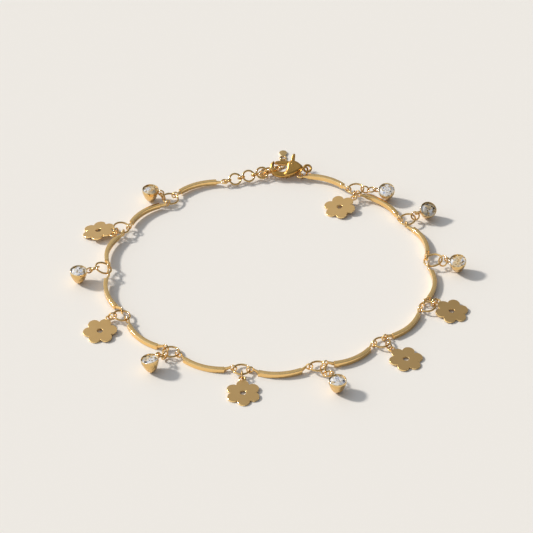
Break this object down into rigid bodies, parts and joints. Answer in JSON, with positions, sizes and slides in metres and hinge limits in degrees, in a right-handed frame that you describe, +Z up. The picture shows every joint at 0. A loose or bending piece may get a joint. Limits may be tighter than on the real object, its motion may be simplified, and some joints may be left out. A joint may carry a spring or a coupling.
{
  "type": "charm anklet",
  "caption": "Gold-plated ankle chain of bowed bar links and round rings, hung with flat flower charms and cone-set stones, closed by a lobster clasp on a short extender chain.",
  "frame": {"origin": "centre of the underside of the anklet's box, as it lies closed on a surface", "axes": "+Z up from the surface, +Y towards the clasp's side of the loop, +X towards the side that the clasp's eye points to"},
  "size_m": [0.0912, 0.0944, 0.0045],
  "materials": {
    "polished_gold": "polished gold plating on brass: bars, rings and links",
    "flower_gold": "satin gold plating with polished edges",
    "set_stone": "polished gold-plated cone setting with a clear faceted stone in its rim",
    "clasp_gold": "gold plating, slightly duller, on the clasp"
  },
  "bodies": {
    "anklet": {"bar_link_01": "polished_gold", "bar_link_02": "polished_gold", "bar_link_03": "polished_gold", "bar_link_04": "polished_gold", "bar_link_05": "polished_gold", "bar_link_06": "polished_gold", "bar_link_07": "polished_gold", "bar_link_08": "polished_gold", "bar_link_09": "polished_gold", "bar_link_10": "polished_gold", "bar_link_11": "polished_gold", "bar_link_12": "polished_gold", "bar_link_13": "polished_gold", "catch_ring": "polished_gold", "clasp_body": "clasp_gold", "clasp_ring": "clasp_gold", "drop_link_01": "polished_gold", "drop_link_02": "polished_gold", "drop_link_03": "polished_gold", "drop_link_04": "polished_gold", "drop_link_05": "polished_gold", "drop_link_06": "polished_gold", "drop_link_07": "polished_gold", "drop_link_08": "polished_gold", "drop_link_09": "polished_gold", "drop_link_10": "polished_gold", "drop_link_11": "polished_gold", "drop_link_12": "polished_gold", "drop_link_13": "polished_gold", "extender_link_1": "polished_gold", "extender_link_2": "polished_gold", "extender_link_3": "polished_gold", "extender_tail": "polished_gold", "flower_charm_01": "flower_gold", "flower_charm_02": "flower_gold", "flower_charm_03": "flower_gold", "flower_charm_04": "flower_gold", "flower_charm_05": "flower_gold", "flower_charm_06": "flower_gold", "junction_ring_01": "polished_gold", "junction_ring_02": "polished_gold", "junction_ring_03": "polished_gold", "junction_ring_04": "polished_gold", "junction_ring_05": "polished_gold", "junction_ring_06": "polished_gold", "junction_ring_07": "polished_gold", "junction_ring_08": "polished_gold", "junction_ring_09": "polished_gold", "junction_ring_10": "polished_gold", "junction_ring_11": "polished_gold", "junction_ring_12": "polished_gold", "stone_charm_01": "set_stone", "stone_charm_02": "set_stone", "stone_charm_03": "set_stone", "stone_charm_04": "set_stone", "stone_charm_05": "set_stone", "stone_charm_06": "set_stone", "stone_charm_07": "set_stone"},
    "lever": {"clasp_lever": "clasp_gold"}
  },
  "joints": [
    {"name": "clasp_lever_hinge", "type": "hinge", "parent": "anklet", "child": "lever", "pos_m": [0.00586, 0.03763, 0.00263], "axis": [0, -0.5, 0.866], "range_deg": [0, 14], "stiffness_Nm_per_rad": 0.002, "springref_deg": -11.46}
  ]
}
